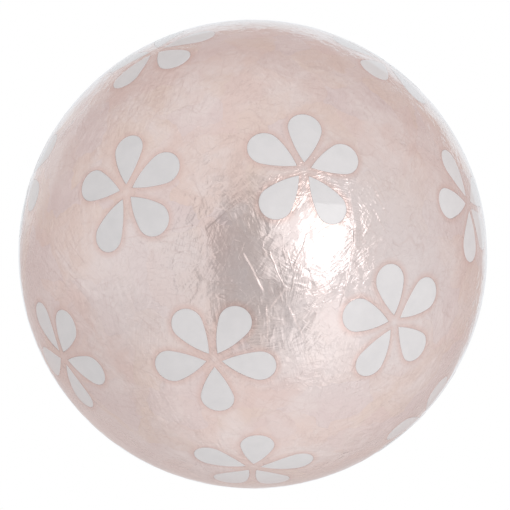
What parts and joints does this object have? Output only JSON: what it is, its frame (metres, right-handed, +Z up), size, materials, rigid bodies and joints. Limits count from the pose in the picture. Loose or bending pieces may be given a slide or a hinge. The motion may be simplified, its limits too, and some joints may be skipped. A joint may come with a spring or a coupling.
{
  "type": "globe lantern",
  "caption": "Hanging globe lantern: a translucent ball under pink mother-of-pearl flakes with inlaid white blossoms, on a flush metal crown that carries a lampholder and a bulb.",
  "frame": {"origin": "top end of the hanging stud, on the axis of the ball", "axes": "+Z up along the stud and the axis of the ball, -Y towards the pictured front"},
  "size_m": [0.305, 0.305, 0.3065],
  "materials": {
    "liner": "satin",
    "nacre": "gloss",
    "petal_shell": "gloss",
    "crown_metal": "satin",
    "spring_steel": "satin",
    "plated_steel": "satin",
    "bush_plastic": "matte",
    "porcelain": "gloss",
    "steatite": "matte",
    "brass": "satin",
    "frosted_glass": "satin",
    "lamp_post": "satin",
    "bulb_metal": "satin",
    "black_glass": "gloss",
    "solder": "satin"
  },
  "bodies": {
    "crown": {"crown_cap": "crown_metal", "spring_clips": "spring_steel", "hang_stud": "plated_steel", "top_washer": "plated_steel", "top_nut": "plated_steel", "lower_nut": "plated_steel", "cord_bush": "bush_plastic", "holder_cap": "porcelain", "holder_body": "porcelain", "screw_shell": "brass", "contact_block": "steatite", "centre_contact": "brass", "terminal_screws": "brass"},
    "globe": {"liner_upper": "liner", "liner_lower": "liner", "nacre_skin": "nacre", "neck_ring": "crown_metal", "flower_01": "petal_shell", "flower_02": "petal_shell", "flower_03": "petal_shell", "flower_04": "petal_shell", "flower_05": "petal_shell", "flower_06": "petal_shell", "flower_07": "petal_shell", "flower_08": "petal_shell", "flower_09": "petal_shell", "flower_10": "petal_shell", "flower_11": "petal_shell", "flower_12": "petal_shell", "flower_13": "petal_shell", "flower_14": "petal_shell", "flower_15": "petal_shell", "flower_16": "petal_shell", "flower_17": "petal_shell", "flower_18": "petal_shell", "flower_19": "petal_shell"},
    "bulb_contact": {"bulb_tip": "solder", "bulb_insulator": "black_glass"},
    "bulb": {"bulb_glass": "frosted_glass", "bulb_stem": "lamp_post", "bulb_cap": "bulb_metal"}
  },
  "joints": [
    {"name": "globe_pull", "type": "slide", "parent": "crown", "child": "globe", "axis": [0, 0, -1], "range_m": [0, 0.135]},
    {"name": "bulb_advance", "type": "slide", "parent": "crown", "child": "bulb_contact", "axis": [0, 0, -1], "range_m": [0, 0.0182]},
    {"name": "bulb_turn", "type": "hinge", "parent": "bulb_contact", "child": "bulb", "pos_m": [0, 0, -0.06], "axis": [0, 0, -1], "range_deg": [0, 1800]}
  ],
  "couplings": [
    {"joint": "bulb_advance", "follows": "bulb_turn", "m_per_rad": 0.0005775}
  ]
}
